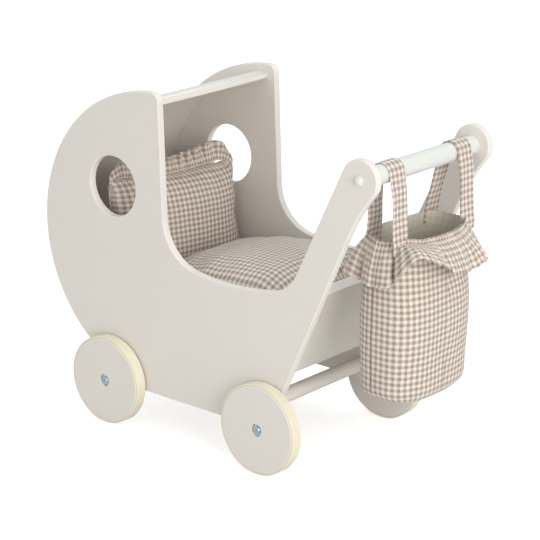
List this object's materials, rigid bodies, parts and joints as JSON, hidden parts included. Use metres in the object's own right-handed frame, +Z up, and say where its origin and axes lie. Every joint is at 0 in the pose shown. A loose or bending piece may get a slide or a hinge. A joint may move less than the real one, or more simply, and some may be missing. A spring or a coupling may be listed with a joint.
{
  "type": "doll pram",
  "caption": "Wooden doll pram with a round hood with porthole windows, a handlebar, painted disc wheels, bedding and a cloth bag that swings from the handlebar.",
  "frame": {"origin": "on the floor, midway between the four wheels and midway between the two side panels", "axes": "+X from the hood end to the handle end, along the pram's longest extent; +Y across the pram, to the left of someone at the hood end looking at the handle; +Z up"},
  "size_m": [0.66, 0.3134, 0.5185],
  "materials": {
    "panel_paint": "smooth satin paint on board",
    "hood_paint": "smooth satin paint on thin bent board",
    "board_paint": "smooth satin paint",
    "handlebar_paint": "smooth satin paint on a turned bar",
    "pin_wood": "bare beech",
    "zinc_steel": "bright zinc plate",
    "mattress_foam": "plain woven cover",
    "bedding_gingham": "woven gingham check in cream and taupe",
    "bag_gingham": "woven gingham check in cream and taupe",
    "bag_lining_cloth": "plain woven lining",
    "wheel_paint": "smooth satin paint",
    "tyre_rubber": "matte cream rubber",
    "bush_nylon": "matte"
  },
  "bodies": {
    "pram": {"side_panel_right": "panel_paint", "side_panel_left": "panel_paint", "hood_shell": "hood_paint", "hood_rail": "board_paint", "hood_rail_pins": "pin_wood", "base_board": "board_paint", "base_board_pins": "pin_wood", "end_panel": "board_paint", "end_panel_pins": "pin_wood", "handlebar": "handlebar_paint", "handlebar_screws": "zinc_steel", "handlebar_caps": "handlebar_paint", "cross_dowel": "board_paint", "cross_dowel_screws": "zinc_steel", "axle_inserts": "zinc_steel", "axle_screws": "zinc_steel", "axle_sleeves": "zinc_steel", "axle_washers": "zinc_steel", "mattress": "mattress_foam", "duvet": "bedding_gingham", "pillow": "bedding_gingham", "pillow_ruffle": "bedding_gingham"},
    "wheel_hood_right": {"wheel_disc_hood_right": "wheel_paint", "tyre_hood_right": "tyre_rubber", "wheel_bush_hood_right": "bush_nylon"},
    "wheel_hood_left": {"wheel_disc_hood_left": "wheel_paint", "tyre_hood_left": "tyre_rubber", "wheel_bush_hood_left": "bush_nylon"},
    "wheel_handle_right": {"wheel_disc_handle_right": "wheel_paint", "tyre_handle_right": "tyre_rubber", "wheel_bush_handle_right": "bush_nylon"},
    "wheel_handle_left": {"wheel_disc_handle_left": "wheel_paint", "tyre_handle_left": "tyre_rubber", "wheel_bush_handle_left": "bush_nylon"},
    "bag": {"bag_shell": "bag_gingham", "bag_lining": "bag_lining_cloth", "bag_ruffle": "bag_gingham", "bag_strap_right": "bag_gingham", "bag_strap_left": "bag_gingham"}
  },
  "joints": [
    {"name": "wheel_hood_right_spin", "type": "hinge", "parent": "pram", "child": "wheel_hood_right", "pos_m": [-0.15, -0.1467, 0.0675], "axis": [0, 1, 0], "continuous": true},
    {"name": "wheel_hood_left_spin", "type": "hinge", "parent": "pram", "child": "wheel_hood_left", "pos_m": [-0.15, 0.1467, 0.0675], "axis": [0, 1, 0], "continuous": true},
    {"name": "wheel_handle_right_spin", "type": "hinge", "parent": "pram", "child": "wheel_handle_right", "pos_m": [0.15, -0.1467, 0.0675], "axis": [0, 1, 0], "continuous": true},
    {"name": "wheel_handle_left_spin", "type": "hinge", "parent": "pram", "child": "wheel_handle_left", "pos_m": [0.15, 0.1467, 0.0675], "axis": [0, 1, 0], "continuous": true},
    {"name": "bag_swing", "type": "hinge", "parent": "pram", "child": "bag", "pos_m": [0.3065, 0, 0.4585], "axis": [0, 1, 0], "range_deg": [-50, 14]}
  ]
}
